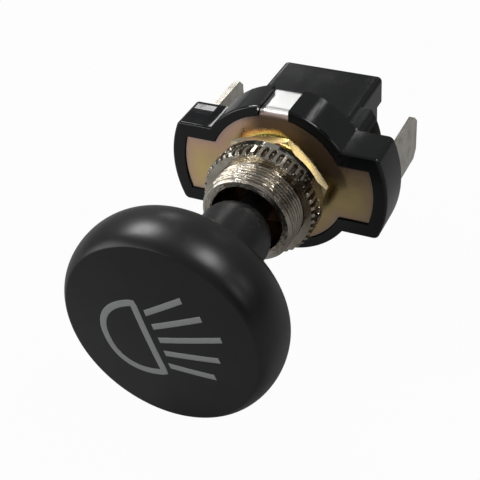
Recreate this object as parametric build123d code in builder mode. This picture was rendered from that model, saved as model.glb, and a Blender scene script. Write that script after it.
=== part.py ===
from build123d import *
from math import acos, degrees, radians, sin, sqrt, tan
import os

# Pull switch for a vehicle's headlamps, as an assembly of its own pieces, in millimetres.
# The pull axis is Y: the knob stands at the front (-Y) and the terminals point to the back (+Y).
# X runs along the two ears of the mounting plate and Z points up.
# The origin lies on the pull axis, in the plane of the housing's front rim.
# The switch is drawn pulled out, which is its on position.

# Travel of the knob and the gaps between pieces
travel = 6.5
press_gap = 0.03
thread_gap = 0.05
rod_gap = 0.06
seat_gap = 0.1
neck_gap = 0.15
slide_gap = 0.3

# Housing: a round flange with two wings, a trimmed round body and a box behind it
barrel_r = 10.6
wing_r = 14.7
wing_half_h = 5.95
wing_corner_r = 0.8
flange_depth = 5.5
flange_edge_r = 0.35
body_r = 9.9
body_half_h = 5.2
body_depth = 12.0
box_half_w = 7.1
box_half_h = 5.4
box_edge_r = 0.7
step_top_z = 1.75
step_inset = 0.8
chamber_wall = 1.4
rear_wall = 1.3
rod_room = 0.8

# Mounting plate with its two folded tabs, and the insulating sheet under it
plate_sink = 0.27
plate_t = 0.8
rim_round = 1.45
rim_end = 1.84
rim_side = 2.06
tab_w = 3.9
tab_sink = 0.95
tab_bend_r = 0.9
tab_lip_h = 2.0
sheet_t = 0.3

# Threaded neck, swaged into the plate
thread_r = 6.0
neck_length = 9.2
neck_wall = 1.3
mouth_chamfer = 0.4
tail_wall = 0.8
swage_lip = 0.8
swage_t = 0.5

# Guide disc inside the neck, short of the knob's stem when that is pushed home
stem_room = 1.3

# Hexagon nut behind the panel, bevelled on both faces
hex_wall = 0.65
hex_face_wall = 0.3
hex_bevel = 30
hex_front = 2.5
hex_width = 2.25
hex_turn = 10.6

# Ring nut in front of the panel, fluted round its front half
ring_wall = 1.45
ring_rear = 2.6
ring_width = 3.0
ring_bevel = 0.3
flute_count = 46
flute_r = 0.36
flute_length = 1.75
flute_sink = 0.3
ring_edge = 0.15

# Knob: a mushroom head with a rounded rim round a domed face, on a round-ended neck
knob_r = 13.0
rim_r = 2.2
rim_half_w = 4.05
face_r = 11.6
face_edge_r = 0.25
crown = 0.63
stem_out = 1.0
stem_spare = 1.7
stem_end_r = 3.1
stem_round = 2.7
flare_r = 7.2
flare_length = 4.2
head_back = 9.0
recess_r = 2.9
recess_depth = 1.0
rod_socket = 14.5

# Pull rod and the clip on its end
rod_r = 2.0
spigot_r = 1.6
rod_chamfer = 0.3
clip_r = 2.7
clip_t = 0.45
clip_groove = 0.4
clip_mouth = 1.8
spigot_end = 0.4

# Contacts: moulded-in terminals, silver rivets and the bridge that joins them
strip_t = 0.8
strip_w = 6.3
strip_drop = 1.43
blade_inset = 1.4
left_blade = 12.0
right_blade = 10.6
blade_tip = 1.0
contact_r = 0.9
contact_inset = 1.3
contact_edge = 0.1
contact_h = 0.5
contact_shank_r = 0.5
contact_gap = 0.1
button_h = 0.4
bridge_t = 0.7
bridge_half_w = 1.7
bridge_end_gap = 0.4

# Contact carrier, its curved spring washer and its two detents
hub_wall = 0.8
hub_lead = 0.2
spring_length = 2.5
carrier_depth = 3.0
contact_spring_r = 3.6
contact_spring_t = 0.25
ball_r = 1.0
ball_gap = 0.05
groove_r = 1.1
groove_depth = 0.35
detent_spring_r = 0.9
detent_spring_t = 0.15
detent_spring_h = 0.55
detent_hole_r = 0.4

# Radii and half widths that follow from the sizes above
plate_r = barrel_r - rim_round
ear_r = wing_r - rim_end
ear_half_h = wing_half_h - rim_side
tab_top_z = barrel_r - tab_sink
tab_floor_z = tab_top_z - plate_t - seat_gap
neck_bore_r = thread_r - neck_wall
tail_r = neck_bore_r + tail_wall
swage_r = tail_r + swage_lip
hex_across_flats = 2 * (thread_r + hex_wall)
hex_face_r = thread_r + hex_face_wall
hex_blank_r = hex_face_r + hex_width / 2 / tan(radians(hex_bevel))
ring_r = thread_r + ring_wall
stem_r = neck_bore_r - neck_gap
rim_x = knob_r - rim_r
face_turn = degrees(acos((face_r - rim_x) / rim_r))
hub_r = spigot_r + hub_wall
chamber_half_w = box_half_w - chamber_wall
chamber_half_h = box_half_h - chamber_wall
carrier_half_w = chamber_half_w - slide_gap
carrier_half_h = chamber_half_h - slide_gap
contact_x = chamber_half_w - contact_inset
strip_inner_x = contact_x - contact_r - contact_edge
blade_outer_x = wing_r - blade_inset
ball_x = chamber_half_w - ball_gap - ball_r
spring_top_x = ball_x - sqrt(ball_r**2 - detent_hole_r**2) - press_gap
pocket_x = spring_top_x - detent_spring_h - press_gap

# Stations along the pull axis that follow from the sizes above
plate_back = plate_sink + plate_t
pocket_depth = plate_back + sheet_t
swage_end = plate_back + swage_t
mouth_y = -neck_length
stem_end_y = mouth_y - stem_out
guide_y = stem_end_y + travel + stem_room
flare_start_y = stem_end_y - travel - stem_spare
rim_y = flare_start_y - head_back
face_y = rim_y - rim_half_w * sin(radians(face_turn))
socket_end = stem_end_y - rod_socket
ring_front_y = -ring_rear - ring_width
hex_rear_y = hex_width - hex_front
strip_y = swage_end + strip_drop
contact_face = strip_y + strip_t + contact_h
bridge_y = contact_face + contact_gap + button_h
shoulder_y = bridge_y - hub_lead
carrier_y = bridge_y + bridge_t + spring_length
carrier_back = carrier_y + carrier_depth
detent_y = carrier_y + carrier_depth / 2
clip_y = carrier_back + press_gap
rod_end = clip_y + clip_t + spigot_end
chamber_end = rod_end + travel + rod_room
box_depth = chamber_end + rear_wall

os.makedirs("parts", exist_ok=True)


def station(y):
    """The plane square to the pull axis at y, facing the front, with X across and Z up."""
    return Plane.XZ.offset(-y)


def plate_outline(grow):
    """The plate's round middle with its two ears, grown all round by a clearance."""
    with BuildSketch() as outline:
        Circle(ear_r + grow)
        Rectangle(2 * (ear_r + grow), 2 * (ear_half_h + grow), mode=Mode.INTERSECT)
        Circle(plate_r + grow)
    return outline.sketch


def bow_radius(rise, reach, thickness):
    """Outer radius of a strip bent so that it rises by a height within its half length."""
    return (rise**2 + reach**2 - thickness**2) / (2 * (rise - thickness))


def save(piece, name):
    """Label a finished piece and write it as one file."""
    piece.part.label = name
    export_step(piece.part, f"parts/{name}.step")


# Housing, moulded in one piece round the terminals and closed in front by the plate
with BuildPart() as housing:
    with BuildSketch(station(0)):
        Circle(wing_r)
        Rectangle(2 * wing_r, 2 * wing_half_h, mode=Mode.INTERSECT)
        Circle(barrel_r)
    extrude(amount=-flange_depth)
    wing_corners = housing.edges().filter_by(Axis.Y).filter_by(
        lambda edge: abs(edge.center().X) > barrel_r
    )
    fillet(wing_corners, radius=wing_corner_r)
    front_face = housing.faces().sort_by(Axis.Y)[0]
    fillet(front_face.edges(), radius=flange_edge_r)
    with BuildSketch(station(flange_depth)):
        Rectangle(2 * box_half_w, 2 * box_half_h)
    extrude(amount=flange_depth - box_depth)
    box_corners = housing.edges().filter_by(Axis.Y).filter_by(
        lambda edge: edge.center().Y > flange_depth
    )
    fillet(box_corners, radius=box_edge_r)
    rear_face = housing.faces().sort_by(Axis.Y)[-1]
    fillet(rear_face.edges(), radius=box_edge_r)
    with BuildSketch(station(body_depth)):
        for side in (-1, 1):
            with Locations((side * box_half_w, step_top_z - box_half_h)):
                Rectangle(2 * step_inset, 2 * box_half_h)
    extrude(amount=body_depth - box_depth, mode=Mode.SUBTRACT)
    with BuildSketch(station(flange_depth)):
        Circle(body_r)
        Rectangle(2 * body_r, 2 * body_half_h, mode=Mode.INTERSECT)
    extrude(amount=flange_depth - body_depth)
    with BuildSketch(station(0)):
        add(plate_outline(seat_gap))
    extrude(amount=-pocket_depth, mode=Mode.SUBTRACT)
    with BuildSketch(station(0)):
        Circle(swage_r + slide_gap)
    extrude(amount=-swage_end - slide_gap, mode=Mode.SUBTRACT)
    with BuildSketch(station(0)):
        Rectangle(2 * chamber_half_w, 2 * chamber_half_h)
    extrude(amount=-chamber_end, mode=Mode.SUBTRACT)
    with BuildSketch(station(0)):
        for side in (-1, 1):
            with Locations((0, side * (tab_floor_z + barrel_r) / 2)):
                Rectangle(tab_w + 2 * seat_gap, barrel_r - tab_floor_z)
    extrude(amount=-flange_depth, mode=Mode.SUBTRACT)
    with BuildSketch(station(strip_y - press_gap)):
        for side in (-1, 1):
            with Locations((side * (strip_inner_x + blade_outer_x) / 2, 0)):
                Rectangle(
                    blade_outer_x - strip_inner_x + 2 * press_gap,
                    strip_w + 2 * press_gap,
                )
    extrude(amount=-strip_t - 2 * press_gap, mode=Mode.SUBTRACT)
    with BuildSketch(station(strip_y)):
        for side in (-1, 1):
            with Locations((side * (blade_outer_x - strip_t / 2), 0)):
                Rectangle(strip_t + 2 * press_gap, strip_w + 2 * press_gap)
    extrude(amount=strip_y - flange_depth, mode=Mode.SUBTRACT)
    with BuildSketch(Plane.XY):
        for side in (-1, 1):
            for stop in (0, travel):
                with Locations((side * (chamber_half_w + groove_depth - groove_r), detent_y + stop)):
                    Circle(groove_r)
    extrude(amount=groove_r, both=True, mode=Mode.SUBTRACT)
save(housing, "housing")

# Mounting plate: a stamping whose two tabs fold back over the flange and hook behind it
with BuildPart() as mounting_plate:
    with BuildSketch(station(plate_sink)):
        add(plate_outline(0))
        Circle(tail_r + press_gap, mode=Mode.SUBTRACT)
    extrude(amount=-plate_t)
    lip_back = flange_depth + seat_gap + plate_t
    with BuildSketch(Plane.YZ):
        for side in (-1, 1):
            with BuildLine():
                Polyline(
                    (plate_sink, side * (plate_r - plate_t)),
                    (plate_sink, side * tab_top_z),
                    (lip_back, side * tab_top_z),
                    (lip_back, side * (tab_top_z - tab_lip_h)),
                    (lip_back - plate_t, side * (tab_top_z - tab_lip_h)),
                    (lip_back - plate_t, side * (tab_top_z - plate_t)),
                    (plate_back, side * (tab_top_z - plate_t)),
                    (plate_back, side * (plate_r - plate_t)),
                    close=True,
                )
            make_face()
    extrude(amount=tab_w / 2, both=True)
    bends = mounting_plate.edges().filter_by(Axis.X).filter_by(
        lambda edge: abs(abs(edge.center().Z) - tab_top_z) < press_gap
    )
    fillet(bends, radius=tab_bend_r)
save(mounting_plate, "mounting_plate")

# Insulating sheet that keeps the plate off the terminals
with BuildPart() as insulating_sheet:
    with BuildSketch(station(plate_back)):
        add(plate_outline(-press_gap))
        Rectangle(2 * ear_r, 2 * tab_floor_z, mode=Mode.INTERSECT)
        Circle(swage_r + seat_gap, mode=Mode.SUBTRACT)
    extrude(amount=-sheet_t)
save(insulating_sheet, "insulating_sheet")

# Threaded neck, turned, with its tail swaged over behind the plate
with BuildPart() as threaded_bush:
    with BuildSketch(Plane.XY):
        with BuildLine():
            Polyline(
                (neck_bore_r, mouth_y),
                (thread_r - mouth_chamfer, mouth_y),
                (thread_r, mouth_y + mouth_chamfer),
                (thread_r, plate_sink),
                (tail_r, plate_sink),
                (tail_r, plate_back),
                (swage_r, plate_back),
                (swage_r, swage_end),
                (neck_bore_r, swage_end),
                close=True,
            )
        make_face()
    revolve(axis=Axis.Y)
save(threaded_bush, "threaded_bush")

# Guide disc of pressed laminate that carries the rod inside the neck
with BuildPart() as guide_disc:
    with BuildSketch(station(guide_y)):
        Circle(neck_bore_r - press_gap)
        Circle(rod_r + rod_gap, mode=Mode.SUBTRACT)
    extrude(amount=guide_y - swage_end)
save(guide_disc, "guide_disc")

# Hexagon nut: a turned blank whose bevels run out to one edge, cut to six flats
with BuildPart() as hex_nut:
    with BuildSketch(Plane.XY):
        with BuildLine():
            Polyline(
                (thread_r + thread_gap, -hex_front),
                (hex_face_r, -hex_front),
                (hex_blank_r, hex_rear_y - hex_width / 2),
                (hex_face_r, hex_rear_y),
                (thread_r + thread_gap, hex_rear_y),
                close=True,
            )
        make_face()
    revolve(axis=Axis.Y)
    with BuildSketch(station(-hex_front)):
        RegularPolygon(hex_across_flats / 2, 6, major_radius=False, rotation=hex_turn)
    extrude(amount=-hex_width, mode=Mode.INTERSECT)
save(hex_nut, "hex_nut")

# Ring nut, turned, with flutes cut round its front half for the fingers
with BuildPart() as ring_nut:
    with BuildSketch(Plane.XY):
        with BuildLine():
            Polyline(
                (thread_r + thread_gap, ring_front_y),
                (ring_r - ring_bevel, ring_front_y),
                (ring_r, ring_front_y + ring_bevel),
                (ring_r, -ring_rear - ring_edge),
                (ring_r - ring_edge, -ring_rear),
                (thread_r + thread_gap, -ring_rear),
                close=True,
            )
        make_face()
    revolve(axis=Axis.Y)
    with BuildSketch(station(ring_front_y)):
        with PolarLocations(ring_r + flute_r - flute_sink, flute_count):
            Circle(flute_r)
    extrude(amount=-flute_length, mode=Mode.SUBTRACT)
save(ring_nut, "ring_nut")

# Knob: one moulding, domed in front, with a rounded rim and a neck that runs into the bush
with BuildPart() as knob:
    socket_r = rod_r + press_gap
    dome_r = (face_r**2 + crown**2) / (2 * crown)
    with BuildSketch(Plane.XY):
        with BuildLine():
            RadiusArc((0, face_y - crown), (face_r, face_y), -dome_r)
            EllipticalCenterArc(
                (rim_x, rim_y),
                rim_r,
                rim_half_w,
                start_angle=-face_turn,
                arc_size=face_turn + 90,
            )
            Spline(
                (rim_x, rim_y + rim_half_w),
                (flare_r, flare_start_y - flare_length),
                (stem_r, flare_start_y),
                tangents=((-1, 0), (0, 1)),
            )
            Line((stem_r, flare_start_y), (stem_r, stem_end_y - stem_round))
            EllipticalCenterArc(
                (stem_end_r, stem_end_y - stem_round),
                stem_r - stem_end_r,
                stem_round,
                start_angle=0,
                arc_size=90,
            )
            Polyline(
                (stem_end_r, stem_end_y),
                (recess_r, stem_end_y),
                (recess_r, stem_end_y - recess_depth),
                (socket_r, stem_end_y - recess_depth),
                (socket_r, socket_end),
                (0, socket_end),
                (0, face_y - crown),
            )
        make_face()
    revolve(axis=Axis.Y)
    face_edge = knob.edges().filter_by(lambda edge: edge.is_closed).sort_by(Axis.Y)[0]
    fillet(face_edge, radius=face_edge_r)
save(knob, "knob")

# Pull rod, turned down behind its shoulder and grooved for the clip
with BuildPart() as pull_rod:
    with BuildSketch(Plane.XY):
        with BuildLine():
            Polyline(
                (0, socket_end + press_gap),
                (rod_r - rod_chamfer, socket_end + press_gap),
                (rod_r, socket_end + press_gap + rod_chamfer),
                (rod_r, shoulder_y),
                (spigot_r, shoulder_y),
                (spigot_r, clip_y - press_gap),
                (spigot_r - clip_groove, clip_y - press_gap),
                (spigot_r - clip_groove, clip_y + clip_t + press_gap),
                (spigot_r, clip_y + clip_t + press_gap),
                (spigot_r, rod_end),
                (0, rod_end),
                close=True,
            )
        make_face()
    revolve(axis=Axis.Y)
save(pull_rod, "pull_rod")

# Open clip in the groove of the rod
with BuildPart() as rod_clip:
    with BuildSketch(station(clip_y)):
        Circle(clip_r)
        Circle(spigot_r - clip_groove + press_gap, mode=Mode.SUBTRACT)
        with Locations((0, -clip_r)):
            Rectangle(clip_mouth, 2 * clip_r, mode=Mode.SUBTRACT)
    extrude(amount=-clip_t)
save(rod_clip, "rod_clip")

# Contact carrier: an insulating block with a hub in front and a ball pocket in each side
with BuildPart() as contact_carrier:
    with BuildSketch(station(carrier_y)):
        Rectangle(2 * carrier_half_w, 2 * carrier_half_h)
    extrude(amount=-carrier_depth)
    with BuildSketch(station(shoulder_y + press_gap)):
        Circle(hub_r)
    extrude(amount=shoulder_y + press_gap - carrier_y)
    with BuildSketch(station(shoulder_y)):
        Circle(spigot_r + press_gap)
    extrude(amount=shoulder_y - carrier_back, mode=Mode.SUBTRACT)
    for side in (-1, 1):
        with BuildSketch(Plane.YZ.offset(side * pocket_x)):
            with Locations((detent_y, 0)):
                Circle(ball_r + press_gap)
        extrude(amount=side * (carrier_half_w - pocket_x), mode=Mode.SUBTRACT)
save(contact_carrier, "contact_carrier")

# Bridge that joins the two fixed contacts when the knob is pulled
with BuildPart() as bridge_contact:
    with BuildSketch(station(bridge_y)):
        Rectangle(2 * (chamber_half_w - bridge_end_gap), 2 * bridge_half_w)
        Circle(contact_spring_r)
        Circle(hub_r + press_gap, mode=Mode.SUBTRACT)
    extrude(amount=-bridge_t)
save(bridge_contact, "bridge_contact")

# Curved spring washer that presses the bridge forward
with BuildPart() as contact_spring:
    bow_y = bridge_y + bridge_t + press_gap
    bow_rise = carrier_y - press_gap - bow_y
    bow_r = bow_radius(bow_rise, contact_spring_r, contact_spring_t)
    with BuildSketch(station(bow_y)):
        Circle(contact_spring_r)
        Circle(hub_r + rod_gap, mode=Mode.SUBTRACT)
    extrude(amount=-bow_rise)
    with BuildSketch(Plane.XY):
        with Locations((0, bow_y + bow_r)):
            Circle(bow_r)
            Circle(bow_r - contact_spring_t, mode=Mode.SUBTRACT)
    extrude(amount=contact_spring_r, both=True, mode=Mode.INTERSECT)
save(contact_spring, "contact_spring")

# The pieces that come in pairs, left (-X) and right (+X)
for side, hand, blade in ((-1, "left", left_blade), (1, "right", right_blade)):
    # Terminal: a strip across the wing, folded back into a blade with a tapered tip
    blade_end = flange_depth + blade
    with BuildPart() as terminal:
        with BuildSketch(Plane.XY):
            with BuildLine():
                Polyline(
                    (side * strip_inner_x, strip_y),
                    (side * blade_outer_x, strip_y),
                    (side * blade_outer_x, blade_end),
                    (side * (blade_outer_x - strip_t), blade_end),
                    (side * (blade_outer_x - strip_t), strip_y + strip_t),
                    (side * strip_inner_x, strip_y + strip_t),
                    close=True,
                )
            make_face()
        extrude(amount=strip_w / 2, both=True)
        tip = terminal.faces().sort_by(Axis.Y)[-1]
        chamfer(tip.edges().filter_by(Axis.X), length=blade_tip)
        with BuildSketch(station(strip_y)):
            with Locations((side * contact_x, 0)):
                Circle(contact_shank_r + press_gap)
        extrude(amount=-strip_t, mode=Mode.SUBTRACT)
    save(terminal, f"{hand}_terminal")

    # Silver rivet through the strip, its head towards the bridge
    with BuildPart() as fixed_contact:
        with BuildSketch(station(strip_y - contact_h)):
            with Locations((side * contact_x, 0)):
                Circle(contact_r)
        extrude(amount=press_gap - contact_h)
        with BuildSketch(station(strip_y - press_gap)):
            with Locations((side * contact_x, 0)):
                Circle(contact_shank_r)
        extrude(amount=-strip_t - 2 * press_gap)
        with BuildSketch(station(strip_y + strip_t + press_gap)):
            with Locations((side * contact_x, 0)):
                Circle(contact_r)
        extrude(amount=press_gap - contact_h)
    save(fixed_contact, f"{hand}_contact")

    # Silver button on the bridge
    with BuildPart() as bridge_button:
        with BuildSketch(station(bridge_y - button_h)):
            with Locations((side * contact_x, 0)):
                Circle(contact_r)
        extrude(amount=-button_h)
    save(bridge_button, f"{hand}_bridge_button")

    # Detent ball in the carrier's side pocket
    with BuildPart() as detent_ball:
        with Locations((side * ball_x, detent_y, 0)):
            Sphere(ball_r)
    save(detent_ball, f"{hand}_detent_ball")

    # Curved spring washer behind the ball
    with BuildPart() as detent_spring:
        arch_r = bow_radius(detent_spring_h, detent_spring_r, detent_spring_t)
        with BuildSketch(Plane.YZ.offset(side * spring_top_x)):
            with Locations((detent_y, 0)):
                Circle(detent_spring_r)
                Circle(detent_hole_r, mode=Mode.SUBTRACT)
        extrude(amount=-side * detent_spring_h)
        with BuildSketch(Plane.XY):
            with Locations((side * (spring_top_x - arch_r), detent_y)):
                Circle(arch_r)
                Circle(arch_r - detent_spring_t, mode=Mode.SUBTRACT)
        extrude(amount=detent_spring_r, both=True, mode=Mode.INTERSECT)
    save(detent_spring, f"{hand}_detent_spring")
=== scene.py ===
from math import cos, radians, sin

import bmesh
import bpy
import numpy as np
from mathutils import Matrix, Vector


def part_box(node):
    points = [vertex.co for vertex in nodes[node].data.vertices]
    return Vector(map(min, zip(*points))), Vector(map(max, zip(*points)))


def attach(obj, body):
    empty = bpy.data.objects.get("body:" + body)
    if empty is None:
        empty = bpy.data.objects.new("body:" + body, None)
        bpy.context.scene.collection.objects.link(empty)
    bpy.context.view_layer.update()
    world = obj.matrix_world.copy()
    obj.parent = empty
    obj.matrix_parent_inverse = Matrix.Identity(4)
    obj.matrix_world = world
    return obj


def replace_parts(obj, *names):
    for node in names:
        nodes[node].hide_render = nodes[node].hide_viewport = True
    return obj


# Headlamp pull switch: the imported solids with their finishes, and the turned, threaded and
# printed pieces worked out as surfaces. Metres, in the row frame: -Y is the pull, +Z is up.

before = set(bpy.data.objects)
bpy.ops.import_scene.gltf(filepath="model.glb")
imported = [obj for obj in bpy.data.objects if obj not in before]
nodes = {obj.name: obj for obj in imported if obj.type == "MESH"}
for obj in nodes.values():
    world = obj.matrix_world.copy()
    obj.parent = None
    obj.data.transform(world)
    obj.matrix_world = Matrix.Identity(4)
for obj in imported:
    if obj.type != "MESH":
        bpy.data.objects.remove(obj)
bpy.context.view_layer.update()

MM = 0.001
FULL_TURN = 2 * np.pi

# Knob: domed face, rim ellipse, flared back and round-ended stem
knob_low, knob_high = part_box("knob")
KNOB_R = knob_high[0]
INK_H = 0.03 * MM
FACE_FRONT = knob_low[1] + INK_H
STEM_END = knob_high[1]
CROWN = 0.63 * MM
FACE_R = 11.6 * MM
FACE_EDGE = 0.12 * MM
RIM_R = 2.2 * MM
RIM_HALF_W = 4.05 * MM
RIM_EDGE_TURN = 2.5
STEM_R = 4.55 * MM
STEM_TIP_R = 3.1 * MM
STEM_ROUND = 2.7 * MM
STEM_STRAIGHT = 8.2 * MM
SOCKET_R = 2.9 * MM
SOCKET_DEPTH = 1.0 * MM
RIM_X = KNOB_R - RIM_R
FACE_TURN = np.arccos((FACE_R - RIM_X) / RIM_R)
RIM_Y = FACE_FRONT + CROWN + RIM_HALF_W * np.sin(FACE_TURN)
FLARE_Y = STEM_END - STEM_STRAIGHT
KNOB_COLUMNS = 160

# Lamp sign printed on the knob's face, turned as the knob is
SIGN_TURN = 17.5
LENS_STROKE = 0.82 * MM
RAY_STROKE = 0.74 * MM
LENS_W = 5.66 * MM
LENS_HALF_H = 4.74 * MM
LENS_X = -1.04 * MM
LENS_Z = 0.15 * MM
LENS_POWER = 2.3
BULGE_STEPS = 72
STRAIGHT_STEPS = 26
RAYS = 5
RAY_Z = -0.04 * MM
RAY_PITCH = 1.79 * MM
RAY_SLOPE = 0.15
RAY_LEAN = -0.023
RAY_START = 0.3 * MM
RAY_START_STEP = 0.07 * MM
RAY_LENGTH = 7.65 * MM
RAY_SHORTER = 1.25 * MM
RAY_STEPS = 16

# Section of a printed stroke: places across its width, and rises as shares of the ink's height
STROKE_ACROSS = np.array([-0.5, -0.5, -0.46, -0.2, 0.2, 0.46, 0.5, 0.5])
STROKE_RISE = np.array([-1.0, 0.5, 1.0, 1.0, 1.0, 1.0, 0.5, -1.0])

# Threaded neck
bush_low, bush_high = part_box("threaded_bush")
THREAD_R = 6.0 * MM
THREAD_PITCH = 0.55 * MM
THREAD_DEPTH = 0.34 * MM
THREAD_FLANK = 1.25
THREAD_CREST = 0.12
NECK_BORE_R = 4.7 * MM
MOUTH_Y = bush_low[1]
MOUTH_WALL = 0.85 * MM
MOUTH_SLOPE = 1.2
MOUTH_BEVEL = 0.2 * MM
SWAGE_R = bush_high[0]
SWAGE_END = bush_high[1]
SWAGE_T = 0.5 * MM
plate_low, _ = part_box("mounting_plate")
PLATE_FRONT = plate_low[1]
TAIL_R = 5.5 * MM
NECK_ROWS = 260
NECK_COLUMNS = 180

# Ring nut
ring_low, ring_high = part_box("ring_nut")
RING_R = ring_high[0]
RING_FRONT = ring_low[1]
RING_BACK = ring_high[1]
RING_BEVEL = 0.3 * MM
RING_EDGE = 0.15 * MM
RING_BORE_R = 6.05 * MM
NOTCHES = 46
NOTCH_DEPTH = 0.4 * MM
NOTCH_END = RING_FRONT + 1.75 * MM
NOTCH_RUNOUT = 0.12 * MM
NOTCH_LEVEL = 0.5
NOTCH_FLATNESS = 1.8
NOTCH_COLUMNS = 16


def spread(start, end, count):
    """Evenly spaced values from start to end, the end left out."""
    return np.linspace(start, end, count, endpoint=False)


def place_in_scene(name, data):
    """A new object in the scene, at the origin."""
    made = bpy.data.objects.new(name, data)
    bpy.context.scene.collection.objects.link(made)
    return made


def lay_grid(name, points, body, material, rows_close=False, sharp=40):
    """A piece whose faces join each grid point to its neighbours in the next row and column.

    The last column joins the first. A row that falls on one point, such as a pole, is merged to
    that point.
    """
    rows, columns = points.shape[:2]
    index = np.arange(rows * columns).reshape(rows, columns)
    if rows_close:
        index = np.vstack([index, index[:1]])
    index = np.hstack([index, index[:, :1]])
    faces = np.stack([index[:-1, :-1], index[:-1, 1:], index[1:, 1:], index[1:, :-1]], axis=-1)
    mesh = bpy.data.meshes.new(name)
    mesh.from_pydata(points.reshape(-1, 3), [], faces.reshape(-1, 4).tolist())
    body_mesh = bmesh.new()
    body_mesh.from_mesh(mesh)
    bmesh.ops.remove_doubles(body_mesh, verts=body_mesh.verts, dist=1e-7)
    bmesh.ops.recalc_face_normals(body_mesh, faces=body_mesh.faces)
    body_mesh.to_mesh(mesh)
    body_mesh.free()
    mesh.shade_smooth()
    mesh.set_sharp_from_angle(angle=radians(sharp))
    mesh.materials.append(material)
    piece = place_in_scene(name, mesh)
    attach(piece, body)
    return piece


def turn(radius, along, angles):
    """A turned surface: each profile point (radius, along Y) carried round the pull axis.

    radius may already vary with the angle, as rows by columns.
    """
    radius = np.broadcast_to(np.atleast_2d(radius.T).T, (len(along), len(angles)))
    height = np.broadcast_to(along[:, None], radius.shape)
    return np.stack([radius * np.sin(angles), height, radius * np.cos(angles)], axis=-1)


def line(start, end, count):
    """A straight stretch of a profile, as (radius, along) pairs, the end left out."""
    return np.stack([spread(start[0], end[0], count), spread(start[1], end[1], count)], axis=1)


def arc(centre, radii, start, end, count):
    """A stretch of an ellipse in a profile, between two angles in degrees, the end left out."""
    t = np.radians(spread(start, end, count))
    return np.stack([centre[0] + radii[0] * np.cos(t), centre[1] + radii[1] * np.sin(t)], axis=1)


def dome(radius):
    """Y of the knob's face: a shallow parabola, its crown on the axis."""
    return FACE_FRONT + CROWN * (radius / FACE_R) ** 2


class Value:
    """One output of a shader node. Sums, products and the like of values add Math nodes."""

    def __init__(self, net, socket):
        self.net = net
        self.socket = socket

    def math(self, operation, other=0.0, turned=False):
        """A Math node on this value and another, or on the two in turned order."""
        pair = (other, self) if turned else (self, other)
        return self.net.node("Math", {"operation": operation}, dict(enumerate(pair)))

    def __add__(self, other):
        return self.math("ADD", other)

    def __sub__(self, other):
        return self.math("SUBTRACT", other)

    def __rsub__(self, other):
        return self.math("SUBTRACT", other, turned=True)

    def __mul__(self, other):
        return self.math("MULTIPLY", other)

    __radd__ = __add__
    __rmul__ = __mul__

    def at_most(self, limit):
        """The value, but no more than the limit."""
        return self.math("MINIMUM", limit)

    def at_least(self, limit):
        """The value, but no less than the limit."""
        return self.math("MAXIMUM", limit)

    def step(self, low, high):
        """0 below low, 1 above high and a smooth rise between them."""
        return self.net.node(
            "MapRange", {"interpolation_type": "SMOOTHSTEP"}, {0: self, 1: low, 2: high}
        )


class Net:
    """The nodes of one material or of the world."""

    def __init__(self, tree):
        self.tree = tree
        tree.nodes.clear()

    def node(self, kind, settings, inputs, output=0):
        """Any node: its type, its settings, then the values or links of its sockets."""
        made = self.tree.nodes.new("ShaderNode" + kind)
        for name, setting in settings.items():
            setattr(made, name, setting)
        for name, value in inputs.items():
            socket = made.inputs[name]
            if isinstance(value, Value):
                self.tree.links.new(value.socket, socket)
            elif isinstance(socket.default_value, (int, float)):
                socket.default_value = value
            else:
                socket.default_value = (*value, 1.0)[: len(socket.default_value)]
        return Value(self, made.outputs[output]) if made.outputs else None

    def place(self, stretch=(1, 1, 1)):
        """Where a point lies on the object, in millimetres, stretched along X, Y and Z."""
        spot = self.node("TexCoord", {}, {}, "Object")
        return self.node("Mapping", {}, {"Vector": spot, "Scale": [s / MM for s in stretch]})

    def axis(self, name):
        """One coordinate of the place, in millimetres."""
        return self.node("SeparateXYZ", {}, {0: self.place()}, name)

    def noise(self, scale, detail=3.0, stretch=(1, 1, 1), place=None):
        """Cloudy noise from 0 to 1, scale waves to a millimetre."""
        where = place or self.place(stretch)
        return self.node("TexNoise", {}, {"Vector": where, "Scale": scale, "Detail": detail})

    def round_axis(self):
        """(angle round the pull axis in radians, radius in mm, Y in mm)."""
        x, y, z = self.axis("X"), self.axis("Y"), self.axis("Z")
        angle = x.math("ARCTAN2", z)
        return angle, (x * x + z * z).math("SQRT"), y

    def along(self, x, y, z):
        """A vector from three values."""
        return self.node("CombineXYZ", {}, {0: x, 1: y, 2: z})

    def blend(self, share, first, second):
        """The first colour where share is 0 and the second where it is 1."""
        return self.node("Mix", {"data_type": "RGBA"}, {0: share, 6: first, 7: second}, 2)

    def bump(self, height, depth, strength=1.0, under=None):
        """A surface normal from a height, where 1 stands for a depth in millimetres."""
        sockets = {"Strength": strength, "Distance": depth * MM, "Height": height}
        if under:
            sockets["Normal"] = under
        return self.node("Bump", {}, sockets)


def blank_material(name):
    """A new material and its nodes, still empty."""
    material = bpy.data.materials.new(name)
    material.use_nodes = True
    return material, Net(material.node_tree)


def finish(name, **constants):
    """A new material's nodes and its shader, with the sockets that are the same all over."""
    material, net = blank_material(name)

    def close(**varying):
        sockets = {key.replace("_", " "): value for key, value in {**constants, **varying}.items()}
        shader = net.node("BsdfPrincipled", {}, sockets)
        net.node("OutputMaterial", {}, {"Surface": shader})
        return material

    return net, close


# Finishes. Places in them are in millimetres, and colours are linear.


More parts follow.
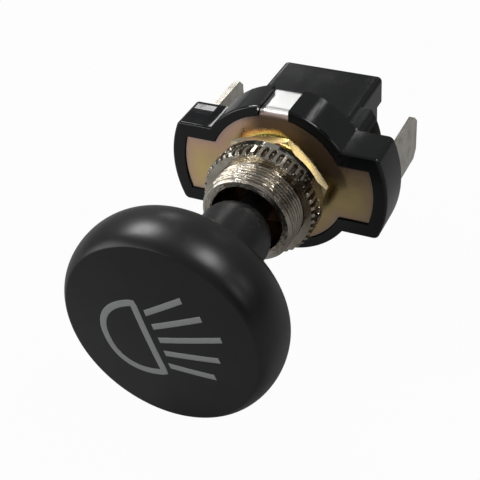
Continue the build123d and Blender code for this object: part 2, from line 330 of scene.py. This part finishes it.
def knob_black():
    """Satin black moulding: fine grain, faint rubs and a little dust towards the stem's end."""
    deep, paler, dusty = (0.004, 0.004, 0.0045), (0.0065, 0.0065, 0.007), (0.075, 0.073, 0.07)
    net, close = finish("knob_black", Specular_IOR_Level=0.45)
    cloud = net.noise(0.25)
    rub = net.noise(0.9, 6.0, (1, 0.25, 1)).step(0.56, 0.8)
    dust = net.noise(3.5, 4.0).step(0.52, 0.68) * net.axis("Y").step(-16.0, -11.0)
    grain = net.noise(9.0, 2.0)
    colour = net.blend(cloud.step(0.3, 0.7), deep, paler)
    return close(
        Base_Color=net.blend(dust * 0.5, colour, dusty),
        Roughness=0.3 + 0.06 * cloud + 0.08 * rub + 0.2 * dust,
        Normal=net.bump(grain, 0.012, 0.35),
    )


def sign_ink():
    """Grey print, a little uneven."""
    thin, full = (0.26, 0.265, 0.27), (0.37, 0.375, 0.38)
    net, close = finish("sign_ink", Specular_IOR_Level=0.3)
    cloud = net.noise(1.2)
    fine = net.noise(9.0)
    return close(
        Base_Color=net.blend(0.6 * cloud + 0.4 * fine, thin, full),
        Roughness=0.5 + 0.15 * cloud,
        Normal=net.bump(fine, 0.01, 0.3),
    )


def housing_black():
    """Glossy black moulding with a slightly wavy skin, dull smears and a few fine scratches.

    The shading of the wings and of the box's lid leans to the front, as if they sank there, so that
    only the rear of the left wing shines. The meshes are flat.
    """
    deep, smeared = (0.0032, 0.0037, 0.0042), (0.0052, 0.0055, 0.006)
    net, close = finish("housing_black", Specular_IOR_Level=0.4)
    x, y = net.axis("X"), net.axis("Y")
    wave = net.noise(0.16, 1.0)
    smear = net.noise(0.5, 5.0, (1, 0.5, 1)).step(0.5, 0.8)
    scratch = net.noise(2.4, 2.0, (1, 0.06, 1)).step(0.66, 0.7)
    grain = net.noise(7.0, 2.0)
    left_wing = 1 - x.step(-10.2, -9.0)
    left = 0.5 * (y.at_most(2.8) + y.at_most(3.8)) - (y - 5.0).at_least(0.0)
    left = (left - 0.8 * (-13.0 - x).at_least(0.0)) * left_wing
    right = 0.45 * y.at_most(6.0) * x.step(5.0, 12.0)
    lid = 0.6 * (y - 7.0).at_least(0.0)
    skin = net.bump(0.05 * wave + 0.12 * (left + right + lid), 1.0)
    scuff = y.step(3.0, 3.8) * left_wing * net.noise(2.2, 5.0).step(0.5, 0.65)
    return close(
        Base_Color=net.blend(smear, deep, smeared),
        Roughness=0.12 + 0.08 * smear + 0.08 * scratch + 0.04 * scuff,
        Normal=net.bump(grain, 0.01, 0.25, skin),
    )


def gilt_plate():
    """Yellow passivated plate: gold fields that turn rosy, then violet, close to the edges.

    A pale rim shows round the nut. A painted shade lies dark round it from above to the right, and
    the right side is painted browner, a painted shade too. The folded tabs are rubbed to bare
    bright metal, dull at their bends.
    """
    disc_r, ear_end_r, ear_half_h = 9.15, 12.86, 3.89
    gold, dull_gold, rosy = (0.98, 0.74, 0.33), (0.90, 0.68, 0.33), (0.86, 0.56, 0.43)
    violet, pale = (0.46, 0.38, 0.44), (0.88, 0.95, 0.62)
    # Colours of painted shade: the browner right side, and the dark field round the nut.
    brown, nut_shade_colour = (0.16, 0.13, 0.075), (0.13, 0.095, 0.07)
    rubbed, bent = (0.86, 0.86, 0.85), (0.40, 0.39, 0.38)
    net, close = finish("gilt_plate", Metallic=1.0)
    x, z = net.axis("X"), net.axis("Z")
    _, radius, y = net.round_axis()
    height = z.math("ABSOLUTE")
    ear_edge = (ear_end_r - radius).at_most(ear_half_h - height)
    edge = (disc_r - radius).at_least(ear_edge)
    cloud = net.noise(0.3, 4.0)
    fine = net.noise(1.6, 3.0)
    streak = net.noise(1.5, 4.0, (0.15, 1, 2.5))
    near = 1 - (edge + 2.4 * (cloud - 0.5)).step(0.2, 2.0)
    upper = (z + 3.0 * (cloud - 0.5)).step(-0.5, 4.0)
    brim = 1 - (edge + 0.6 * (cloud - 0.5)).step(0.0, 0.55)
    rim = 1 - radius.step(6.6, 7.2)
    # Painted shade: the right side of the plate is browner.
    shade = x.step(2.0, 5.0) * (0.45 + 0.2 * cloud)
    # Painted shade round the nut, from above to the right: the mask for its dark colour.
    side = x.step(-5.0, -1.5) * z.step(0.0, 2.6) * (1 - radius.step(9.0, 9.8))
    start = 7.0 - 0.9 * x.step(0.5, 3.0)
    nut_shade = (radius - start + 0.6 * (fine - 0.5)).step(0.0, 0.5) * side
    tab = height.step(8.95, 9.25) * y.step(0.35, 0.9)
    bend = 1 - (y - 1.5).math("ABSOLUTE").step(0.1, 0.35)
    colour = net.blend(cloud.step(0.35, 0.7), gold, dull_gold)
    colour = net.blend((0.6 * near + 0.4 * upper).at_most(0.85), colour, rosy)
    colour = net.blend(0.5 * brim, colour, violet)
    colour = net.blend(0.9 * rim, colour, pale)
    colour = net.blend(shade, colour, brown)
    colour = net.blend(0.92 * nut_shade, colour, nut_shade_colour)
    return close(
        Base_Color=net.blend(tab, colour, net.blend(bend, rubbed, bent)),
        Roughness=0.12 + 0.08 * cloud + 0.06 * fine + 0.06 * streak + 0.1 * tab + 0.35 * nut_shade,
    )


def gilt_nut():
    """Brighter yellow plate with fine lines along the axis.

    The flats above and on the right keep the bright yellow; the rest is painted dull, the front
    most, a painted shade. The shading of the flats leans to the front, as if they were crowned. The
    mesh is flat.
    """
    # The dull colour is painted shade.
    yellow, orange, dull = (0.95, 0.75, 0.28), (0.95, 0.68, 0.38), (0.30, 0.28, 0.22)
    net, close = finish("gilt_nut", Metallic=1.0)
    x, z = net.axis("X"), net.axis("Z")
    angle, _, y = net.round_axis()
    cloud = net.noise(0.6, 3.0)
    lines = net.noise(1.0, 2.0, place=net.along(angle * 60.0, 0.0, 0.0))
    lean = (0.165 + 0.195 * x.step(0.8, 4.0)) * y
    # Painted light and shade: bright yellow on the flats above and on the right, painted dull
    # elsewhere and most at the front.
    upper_right = x.step(-4.0, 1.0) * (0.3 + 0.7 * z.step(1.8, 4.5))
    lit_share = y.step(-2.45, -2.3) * (0.1 + 0.9 * upper_right)
    bright = net.blend(cloud.step(0.3, 0.7), yellow, orange)
    return close(
        Base_Color=net.blend(lit_share, dull, bright),
        Roughness=0.22 + 0.1 * cloud,
        Normal=net.bump(lean + 0.012 * lines, 1.0),
    )


def bright_nickel(name, sparkle, groove, front):
    """Nickel plate over turned brass, with short chips that catch the light.

    The chips run round the axis. Behind the front, in millimetres along the axis, the colour is
    painted brown below the groove's radius, a painted shade in the grooves and the bore. The right
    side is painted darker, a painted shade.
    """
    clear, clouded = (0.70, 0.66, 0.58), (0.54, 0.48, 0.38)
    # Colours of painted shade here: the darker right side, and the brown of the grooves.
    tarnish_and_shade, brown = (0.24, 0.20, 0.15), (0.13, 0.10, 0.065)
    net, close = finish(name, Metallic=1.0)
    angle, radius, y = net.round_axis()
    patch = net.noise(0.55, 4.0)
    chips = net.noise(1.0, 3.0, place=net.along(angle * 6.0, radius * 4.0, y * 4.0))
    dull = patch.step(0.4, 0.75)
    # Painted shade in the grooves, the bore and the hidden faces: brown below the groove's radius,
    # behind the front.
    below = 1 - radius.step(groove, groove + 0.25)
    groove_shade = below * y.step(front, front + 0.1) * (0.65 + 0.35 * patch)
    colour = net.blend(dull, clear, clouded)
    # Painted shade: the right side is darker.
    colour = net.blend(0.6 * net.axis("X").step(2.0, 5.0), colour, tarnish_and_shade)
    return close(
        Base_Color=net.blend(groove_shade, colour, brown),
        Roughness=0.1 + 0.06 * dull + 0.15 * groove_shade,
        Normal=net.bump(chips, 0.12, sparkle),
    )


def tinned_blade():
    """Dull tin plate, rolled along the blade, with darker rubbed patches."""
    tin, rubbed = (0.54, 0.51, 0.45), (0.36, 0.335, 0.285)
    net, close = finish("tinned_blade", Metallic=1.0)
    streak = net.noise(2.5, 4.0, (1, 0.12, 1))
    patch = net.noise(0.5, 5.0)
    return close(
        Base_Color=net.blend(patch.step(0.4, 0.7), tin, rubbed),
        Roughness=0.26 + 0.08 * streak,
        Normal=net.bump(streak, 0.01, 0.1),
    )


def turned_steel():
    """Plain steel with the rings of the tool."""
    dark, light = (0.42, 0.42, 0.43), (0.55, 0.54, 0.53)
    net, close = finish("turned_steel", Metallic=1.0)
    _, radius, y = net.round_axis()
    rings = net.noise(8.0, 2.0, place=net.along(radius, y, 0.0))
    patch = net.noise(0.6, 4.0)
    return close(
        Base_Color=net.blend(patch, dark, light),
        Roughness=0.25 + 0.15 * rings,
        Normal=net.bump(rings, 0.015, 0.4),
    )


def contact_silver():
    """Pale silver with slight tarnish."""
    silver, tarnish_and_shade = (0.86, 0.85, 0.82), (0.62, 0.56, 0.46)
    net, close = finish("contact_silver", Metallic=1.0)
    patch = net.noise(1.8, 4.0)
    return close(
        Base_Color=net.blend(patch.step(0.4, 0.8), silver, tarnish_and_shade),
        Roughness=0.2 + 0.15 * patch,
    )


def brown_board():
    """Pressed paper board: mottled brown with short fibres."""
    dark, light = (0.10, 0.045, 0.02), (0.22, 0.11, 0.05)
    net, close = finish("brown_board", Specular_IOR_Level=0.4)
    fibre = net.noise(3.0, 5.0, (1, 1, 0.3))
    patch = net.noise(0.7, 3.0)
    return close(
        Base_Color=net.blend(0.5 * fibre + 0.5 * patch, dark, light),
        Roughness=0.5 + 0.2 * fibre,
        Normal=net.bump(fibre, 0.02, 0.4),
    )


def make_knob(black):
    """The knob as one turned profile: dome, rim ellipse, flare, stem, round end and rod socket.

    The dome and the rim meet in a small rounded edge, a parabola that touches both.
    """
    face_end = FACE_R - FACE_EDGE
    round_start = STEM_END - STEM_ROUND
    socket_end = STEM_END - SOCKET_DEPTH
    face_r = spread(0.0, face_end, 40)
    rim_start = RIM_EDGE_TURN - np.degrees(FACE_TURN)
    rim = arc((RIM_X, RIM_Y), (RIM_R, RIM_HALF_W), rim_start, 90, 60)
    crease = np.array([[face_end, dome(face_end)], [FACE_R, dome(FACE_R)], rim[0]])
    t = spread(0.0, 1.0, 8)
    edge = np.stack([(1 - t) ** 2, 2 * t * (1 - t), t**2], axis=1) @ crease
    profile = np.concatenate(
        [
            np.stack([face_r, dome(face_r)], axis=1),
            edge,
            rim,
            arc((RIM_X, FLARE_Y), (RIM_X - STEM_R, FLARE_Y - RIM_Y - RIM_HALF_W), 270, 180, 48),
            line((STEM_R, FLARE_Y), (STEM_R, round_start), 12),
            arc((STEM_TIP_R, round_start), (STEM_R - STEM_TIP_R, STEM_ROUND), 0, 90, 24),
            line((STEM_TIP_R, STEM_END), (SOCKET_R, STEM_END), 2),
            line((SOCKET_R, STEM_END), (SOCKET_R, socket_end), 4),
            line((SOCKET_R, socket_end), (0.0, socket_end), 4),
            [[0.0, socket_end]],
        ]
    )
    points = turn(profile[:, 0], profile[:, 1], spread(0, FULL_TURN, KNOB_COLUMNS))
    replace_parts(lay_grid("knob_moulding", points, "pull_knob", black), "knob")


def ink_stroke(name, path, side, width, closed, ink):
    """A printed stroke: a low rounded strip carried along a path (x, z) and laid on the dome.

    Its section runs from edge to edge along side, raised in the middle by the ink's height.
    """
    across = STROKE_ACROSS * width
    flat = path[:, None, :] + across[None, :, None] * side[:, None, :]
    lift = np.broadcast_to(STROKE_RISE * INK_H, flat.shape[:2])
    if not closed:
        ends = [end.mean(1, keepdims=True).repeat(len(across), 1) for end in (flat[:1], flat[-1:])]
        flat = np.concatenate([ends[0], flat, ends[1]])
        lift = np.concatenate([lift[:1] * 0, lift, lift[-1:] * 0])
    height = dome(np.hypot(flat[..., 0], flat[..., 1])) - lift
    points = np.stack([flat[..., 0], height, flat[..., 1]], axis=-1)
    lay_grid(name, points, "pull_knob", ink, rows_close=closed, sharp=30)


def make_sign(ink):
    """The lamp sign: a lens with one straight side, and a fan of rays cut square to that side.

    The lens bulges as half of a superellipse, and each ray is a straight stroke.
    """
    c, s = cos(radians(SIGN_TURN)), sin(radians(SIGN_TURN))
    turned = np.array([[c, s], [-s, c]])
    t = np.radians(np.linspace(90, 270, BULGE_STEPS))
    bulge = np.stack(
        [
            LENS_X - LENS_W * np.abs(np.cos(t)) ** (2 / LENS_POWER),
            LENS_Z + LENS_HALF_H * np.sign(np.sin(t)) * np.abs(np.sin(t)) ** (2 / LENS_POWER),
        ],
        axis=1,
    )
    rise = np.linspace(-1, 1, STRAIGHT_STEPS)[1:-1]
    straight = np.stack([np.full(len(rise), LENS_X), LENS_Z + LENS_HALF_H * rise], axis=1)
    path = np.concatenate([bulge, straight])
    ahead = np.roll(path, -1, axis=0) - np.roll(path, 1, axis=0)
    ahead /= np.linalg.norm(ahead, axis=1, keepdims=True)
    side = np.stack([-ahead[:, 1], ahead[:, 0]], axis=1)
    ink_stroke("sign_lens", path @ turned, side @ turned, LENS_STROKE, True, ink)
    for ray in range(RAYS):
        place = RAYS // 2 - ray
        slope = RAY_LEAN + RAY_SLOPE * place
        start = np.array([RAY_START - RAY_START_STEP * place**2, RAY_Z + RAY_PITCH * place])
        reach = (RAY_LENGTH - RAY_SHORTER * abs(place)) * np.array([1.0, slope])
        path = start + np.linspace(0, 1, RAY_STEPS)[:, None] * reach
        side = np.broadcast_to(np.array([0.0, np.hypot(1.0, slope)]), path.shape)
        ink_stroke(f"sign_ray_{ray + 1}", path @ turned, side @ turned, RAY_STROKE, False, ink)


def make_neck(nickel):
    """The threaded neck: a turned profile whose outside is a screw surface.

    The radius falls from the crest by the thread's depth times a flat-topped triangle wave of the
    distance along the axis in pitches, less the angle in turns. It stays under the mouth's chamfer.
    """
    angles = spread(0, FULL_TURN, NECK_COLUMNS)
    outside = np.linspace(MOUTH_Y, PLATE_FRONT, NECK_ROWS)
    phase = (outside[:, None] / THREAD_PITCH - angles[None, :] / FULL_TURN) % 1.0
    wave = np.abs(2 * phase - 1)
    groove = THREAD_DEPTH * np.clip(THREAD_FLANK * wave - THREAD_CREST, 0.0, 1.0)
    chamfer = NECK_BORE_R + MOUTH_WALL + (outside[:, None] - MOUTH_Y) * MOUTH_SLOPE
    screw = np.minimum(THREAD_R - groove, chamfer)
    swage_start = SWAGE_END - SWAGE_T
    bevel_end = MOUTH_Y + MOUTH_BEVEL
    plain = np.concatenate(
        [
            line((TAIL_R, PLATE_FRONT), (TAIL_R, swage_start), 4),
            line((SWAGE_R, swage_start), (SWAGE_R, SWAGE_END), 3),
            line((SWAGE_R, SWAGE_END), (NECK_BORE_R, SWAGE_END), 4),
            line((NECK_BORE_R, SWAGE_END), (NECK_BORE_R, bevel_end), 24),
            line((NECK_BORE_R, bevel_end), (NECK_BORE_R + MOUTH_BEVEL, MOUTH_Y), 3),
        ]
    )
    radius = np.concatenate([screw, np.repeat(plain[:, :1], len(angles), axis=1)])
    along = np.concatenate([outside, plain[:, 1]])
    points = turn(radius, along, angles)
    piece = lay_grid(
        "neck_thread", points, "switch_body", nickel, rows_close=True, sharp=35
    )
    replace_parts(piece, "threaded_bush")


def make_ring_nut(nickel):
    """The ring nut: a turned profile with notches pressed into its front half.

    Where a notch runs, the radius is the smaller of the profile and the notch floor, which rises
    and falls round the nut as a flattened wave with one notch to a period.
    """
    angles = spread(0, FULL_TURN, NOTCHES * NOTCH_COLUMNS)
    runout_end = NOTCH_END + NOTCH_RUNOUT
    profile = np.concatenate(
        [
            line((RING_BORE_R, RING_FRONT), (RING_R - RING_BEVEL, RING_FRONT), 8),
            line((RING_R - RING_BEVEL, RING_FRONT), (RING_R, RING_FRONT + RING_BEVEL), 8),
            line((RING_R, RING_FRONT + RING_BEVEL), (RING_R, NOTCH_END), 10),
            line((RING_R, NOTCH_END), (RING_R, runout_end), 4),
            line((RING_R, runout_end), (RING_R, RING_BACK - RING_EDGE), 6),
            line((RING_R, RING_BACK - RING_EDGE), (RING_R - RING_EDGE, RING_BACK), 4),
            line((RING_R - RING_EDGE, RING_BACK), (RING_BORE_R, RING_BACK), 6),
            line((RING_BORE_R, RING_BACK), (RING_BORE_R, RING_FRONT), 8),
        ]
    )
    radius, along = profile[:, :1], profile[:, 1]
    wave = np.clip(NOTCH_LEVEL + NOTCH_FLATNESS * np.cos(NOTCHES * angles), 0.0, 1.0)[None, :]
    runs = np.clip((runout_end - along) / NOTCH_RUNOUT, 0.0, 1.0)[:, None]
    floor = RING_R - NOTCH_DEPTH * wave * runs
    cut = np.where(radius > RING_BORE_R + RING_EDGE, np.minimum(radius, floor), radius)
    points = turn(cut, along, angles)
    piece = lay_grid(
        "ring_nut_turned", points, "switch_body", nickel, rows_close=True, sharp=30
    )
    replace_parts(piece, "ring_nut")


make_knob(knob_black())
make_sign(sign_ink())
make_neck(bright_nickel("nickel_thread", sparkle=1.0, groove=5.72, front=-8.9))
make_ring_nut(bright_nickel("nickel_ring", sparkle=0.08, groove=7.1, front=-5.45))

finishes = {
    housing_black(): ["housing"],
    gilt_plate(): ["mounting_plate"],
    gilt_nut(): ["hex_nut"],
    tinned_blade(): ["left_terminal", "right_terminal", "bridge_contact"],
    turned_steel(): [
        "pull_rod",
        "rod_clip",
        "contact_spring",
        "left_detent_spring",
        "right_detent_spring",
        "left_detent_ball",
        "right_detent_ball",
    ],
    contact_silver(): [
        "left_contact",
        "right_contact",
        "left_bridge_button",
        "right_bridge_button",
    ],
    brown_board(): ["guide_disc", "insulating_sheet", "contact_carrier"],
}
for material, names in finishes.items():
    for name in names:
        for holder in nodes[name].material_slots:
            holder.material = material

# Camera: where the photo was taken from, in the photo's square frame. Millimetres and degrees.
PHOTO_PX = 480
FOCAL_PX = 1103
SENSOR = 36.0
CAMERA_AT = (49.02, -104.47, 78.69)
AZIMUTH = 27.68
ELEVATION = 37.26
ROLL = -4.55
CLIP_START = 5 * MM

# Studio: strengths of the surround as light and in mirrors, greys, and the floor's place
SURROUND = 0.33
MIRRORED = 0.25
WHITE = (1.0, 1.0, 1.0)
CARD_GREY = (0.06, 0.06, 0.06)
FLOOR_GREY = (0.3, 0.3, 0.3)
FLOOR_GLOW = 0.97
FLOOR_DROP = 16 * MM
FLOOR_SIDE = 6.0


def make_camera():
    """A camera turned by azimuth, elevation and roll, at the photo's place."""
    a, e, tilt = radians(AZIMUTH), radians(ELEVATION), radians(ROLL)
    right = Vector((cos(a), sin(a), 0))
    up = Vector((-sin(a) * sin(e), cos(a) * sin(e), cos(e)))
    back = right.cross(up)
    x_axis = cos(tilt) * right + sin(tilt) * up
    y_axis = -sin(tilt) * right + cos(tilt) * up
    data = bpy.data.cameras.new("photo_camera")
    data.sensor_width = SENSOR
    data.lens = SENSOR * FOCAL_PX / PHOTO_PX
    data.clip_start = CLIP_START
    camera = place_in_scene("photo_camera", data)
    turned = Matrix((x_axis, y_axis, back)).transposed().to_4x4()
    camera.matrix_world = Matrix.Translation(Vector(CAMERA_AT) * MM) @ turned
    bpy.context.scene.camera = camera


def facing(direction, distance):
    """The place of a thing that stands in a direction from the object and faces it."""
    out = Vector(direction).normalized()
    return Matrix.Translation(out * distance) @ out.to_track_quat("Z", "Y").to_matrix().to_4x4()


def make_lamp(name, direction, distance, width, height, watts):
    """A soft box that faces the object."""
    data = bpy.data.lights.new(name, "AREA")
    data.shape = "RECTANGLE"
    data.size, data.size_y, data.energy = width, height, watts
    lamp = place_in_scene(name, data)
    lamp.matrix_world = facing(direction, distance)
    lamp.visible_camera = False


def make_sheet(name, width, height, place, material):
    """A flat sheet of the studio, laid out round the origin and then moved to its place."""
    corners = [(-width, -height, 0), (width, -height, 0), (width, height, 0), (-width, height, 0)]
    mesh = bpy.data.meshes.new(name)
    mesh.from_pydata([place @ (Vector(corner) / 2) for corner in corners], [], [(0, 1, 2, 3)])
    mesh.materials.append(material)
    return place_in_scene(name, mesh)


def make_card(name, direction, distance, width, height):
    """A dark card for the metal to mirror. The camera doesn't see it."""
    material, net = blank_material(name)
    paint = net.node("BsdfDiffuse", {}, {"Color": CARD_GREY})
    net.node("OutputMaterial", {}, {"Surface": paint})
    card = make_sheet(name, width, height, facing(direction, distance), material)
    card.visible_camera = False


def ray_kinds(net):
    """Two values: 1 for what the camera sees, straight or through glass, and 1 in mirrors."""
    camera, glossy, through = [
        net.node("LightPath", {}, {}, f"Is {kind} Ray")
        for kind in ("Camera", "Glossy", "Transmission")
    ]
    return camera.at_least(through), glossy


def make_floor():
    """A pale floor close under the object, white to the camera but for a little of its shade."""
    material, net = blank_material("pale_floor")
    paint = net.node("BsdfDiffuse", {}, {"Color": FLOOR_GREY})
    glow = net.node("Emission", {}, {"Color": WHITE, "Strength": 1.0})
    seen, _ = ray_kinds(net)
    shader = net.node("MixShader", {}, {0: seen * FLOOR_GLOW, 1: paint, 2: glow})
    net.node("OutputMaterial", {}, {"Surface": shader})
    below = Matrix.Translation((0, 0, -FLOOR_DROP))
    floor = make_sheet("floor", FLOOR_SIDE, FLOOR_SIDE, below, material)


def make_world():
    """An even white surround, dimmer as light and in mirrors than as a background."""
    world = bpy.data.worlds.new("studio")
    bpy.context.scene.world = world
    world.use_nodes = True
    net = Net(world.node_tree)
    seen, mirrored = ray_kinds(net)
    strength = SURROUND + (1 - SURROUND) * seen + (MIRRORED - SURROUND) * mirrored
    shade = net.node("Background", {}, {"Color": WHITE, "Strength": strength})
    net.node("OutputWorld", {}, {"Surface": shade})


make_camera()
# Each lamp: its direction from the object, then distance, width and height in metres, and watts
make_lamp("key_left", (-0.58, 0.19, 0.79), 0.45, 0.17, 0.13, 1.1)
make_lamp("key_right", (0.43, 0.01, 0.90), 0.45, 0.20, 0.12, 0.9)
make_lamp("front_box", (-0.8, -0.5, 0.25), 0.5, 0.3, 0.25, 0.6)
make_lamp("front_strip", (-0.42, -0.80, 0.38), 0.5, 0.06, 0.10, 0.12)
make_lamp("side_strip", (0.86, 0.2, 0.47), 0.5, 0.12, 0.12, 0.09)
make_lamp("side_box", (0.87, -0.25, 0.47), 0.5, 0.12, 0.12, 0.12)
make_lamp("back_strip", (-0.41, 0.765, 0.505), 0.5, 0.075, 0.035, 0.075)
make_lamp("back_window", (0.2, 0.80, 0.57), 0.5, 0.04, 0.05, 0.02)
make_card("card_right", (0.85, -0.1, 0.35), 0.65, 1.0, 0.9)
make_floor()
make_world()
bpy.context.scene.view_settings.view_transform = "Standard"
